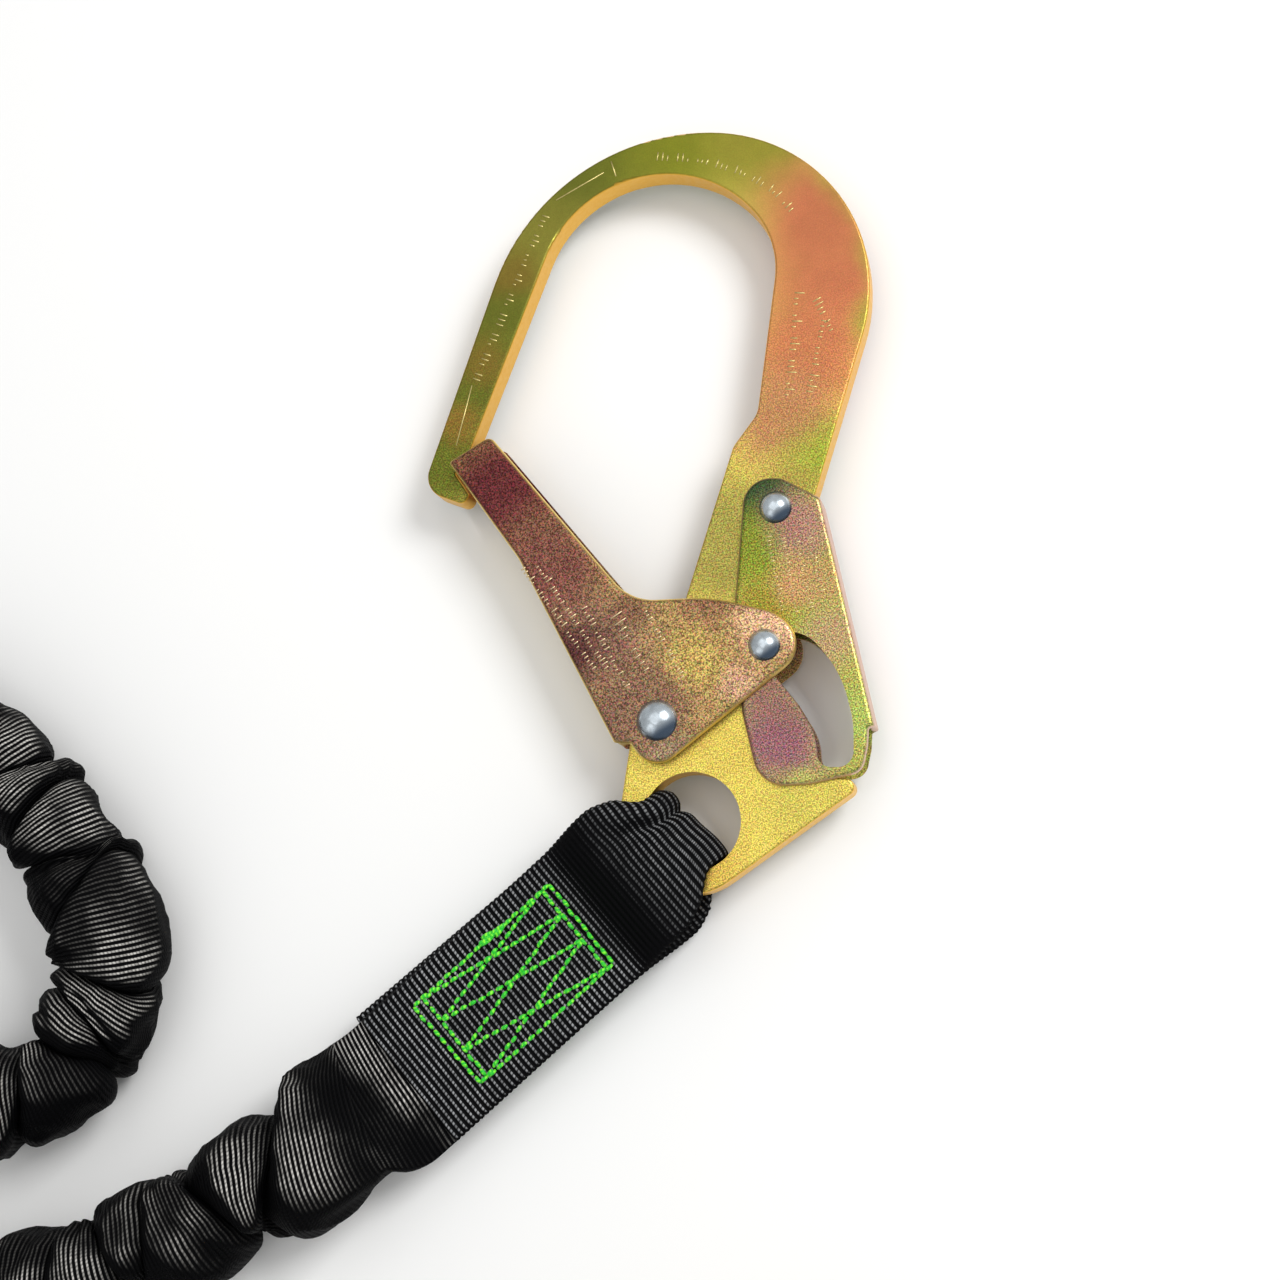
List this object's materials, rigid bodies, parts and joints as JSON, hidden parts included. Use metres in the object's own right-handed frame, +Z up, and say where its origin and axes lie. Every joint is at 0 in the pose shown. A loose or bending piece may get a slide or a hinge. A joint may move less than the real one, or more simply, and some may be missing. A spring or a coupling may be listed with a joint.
{
  "type": "shock absorbing lanyard",
  "caption": "Fall-arrest lanyard: flat rebar hook with self-locking gate and squeeze lever, sewn webbing loop, ruched elastic absorber leg and a small harness snap hook.",
  "frame": {"origin": "centre of the rebar hook's crown arc, halfway through its plate", "axes": "+Z up from the floor that the hook lies on, square to its plate; +Y from the hook's eye to its crown; +X towards the hook's spine"},
  "size_m": [0.4659, 0.4415, 0.0359],
  "materials": {
    "yellow_zinc_steel": "yellow chromate over forged steel, grainy",
    "stamped_zinc_steel": "iridescent yellow chromate over stamped sheet, purple and green casts",
    "bright_zinc_steel": "bright zinc, domed and polished",
    "spring_steel": "drawn spring wire",
    "black_webbing": "ribbed woven polyester",
    "black_jacket": "ruched ribbed tubular webbing",
    "absorber_yarn": "partially drawn polyester yarn",
    "green_thread": "bonded sewing thread"
  },
  "bodies": {
    "hook": {"hook_body": "yellow_zinc_steel"},
    "gate": {"hook_gate": "stamped_zinc_steel", "gate_pivot_rivet": "bright_zinc_steel", "gate_lock_rivet": "bright_zinc_steel", "gate_spacers": "bright_zinc_steel", "gate_spring": "spring_steel"},
    "lever": {"lock_lever": "stamped_zinc_steel", "lever_pivot_rivet": "bright_zinc_steel", "lever_spring": "spring_steel"},
    "lanyard": {"hook_end_loop": "black_webbing", "hook_end_stitching": "green_thread", "leg_jacket": "black_jacket", "energy_absorber_core": "absorber_yarn", "harness_end_loop": "black_webbing", "harness_end_stitching": "green_thread"},
    "snap": {"snap_body": "yellow_zinc_steel"},
    "snap_gate_body": {"snap_gate": "stamped_zinc_steel", "snap_gate_rivet": "bright_zinc_steel", "snap_lock_rivet": "bright_zinc_steel", "snap_spacers": "bright_zinc_steel"},
    "snap_lever_body": {"snap_lever": "stamped_zinc_steel", "snap_lever_rivet": "bright_zinc_steel", "snap_lever_spring": "spring_steel"}
  },
  "joints": [
    {"name": "gate_hinge", "type": "hinge", "parent": "hook", "child": "gate", "pos_m": [-0.0076, -0.1325, 0], "axis": [0, 0, -1], "range_deg": [0, 45], "stiffness_Nm_per_rad": 0.12, "springref_deg": -20.05},
    {"name": "lever_hinge", "type": "hinge", "parent": "hook", "child": "lever", "pos_m": [0.0315, -0.0718, 0], "axis": [0, 0, -1], "range_deg": [0, 11.3], "stiffness_Nm_per_rad": 0.1, "springref_deg": -17.19},
    {"name": "webbing_swing", "type": "hinge", "parent": "hook", "child": "lanyard", "pos_m": [0, -0.1625, 0], "axis": [0, 0, 1], "range_deg": [-15, 15]},
    {"name": "snap_swing", "type": "hinge", "parent": "lanyard", "child": "snap", "pos_m": [-0.05919, -0.3595, -0.0024], "axis": [0, 0, 1], "range_deg": [-15, 15]},
    {"name": "snap_gate_hinge", "type": "hinge", "parent": "snap", "child": "snap_gate_body", "pos_m": [-0.03258, -0.35195, -0.0024], "axis": [0, 0, -1], "range_deg": [0, 35], "stiffness_Nm_per_rad": 0.06, "springref_deg": -20.05},
    {"name": "snap_lever_hinge", "type": "hinge", "parent": "snap", "child": "snap_lever_body", "pos_m": [0.00635, -0.37395, -0.0024], "axis": [0, 0, -1], "range_deg": [0, 8.8], "stiffness_Nm_per_rad": 0.05, "springref_deg": -17.19}
  ],
  "couplings": [
    {"joint": "lever_hinge", "follows": "gate_hinge", "ratio": 0.25},
    {"joint": "snap_lever_hinge", "follows": "snap_gate_hinge", "ratio": 0.25}
  ]
}
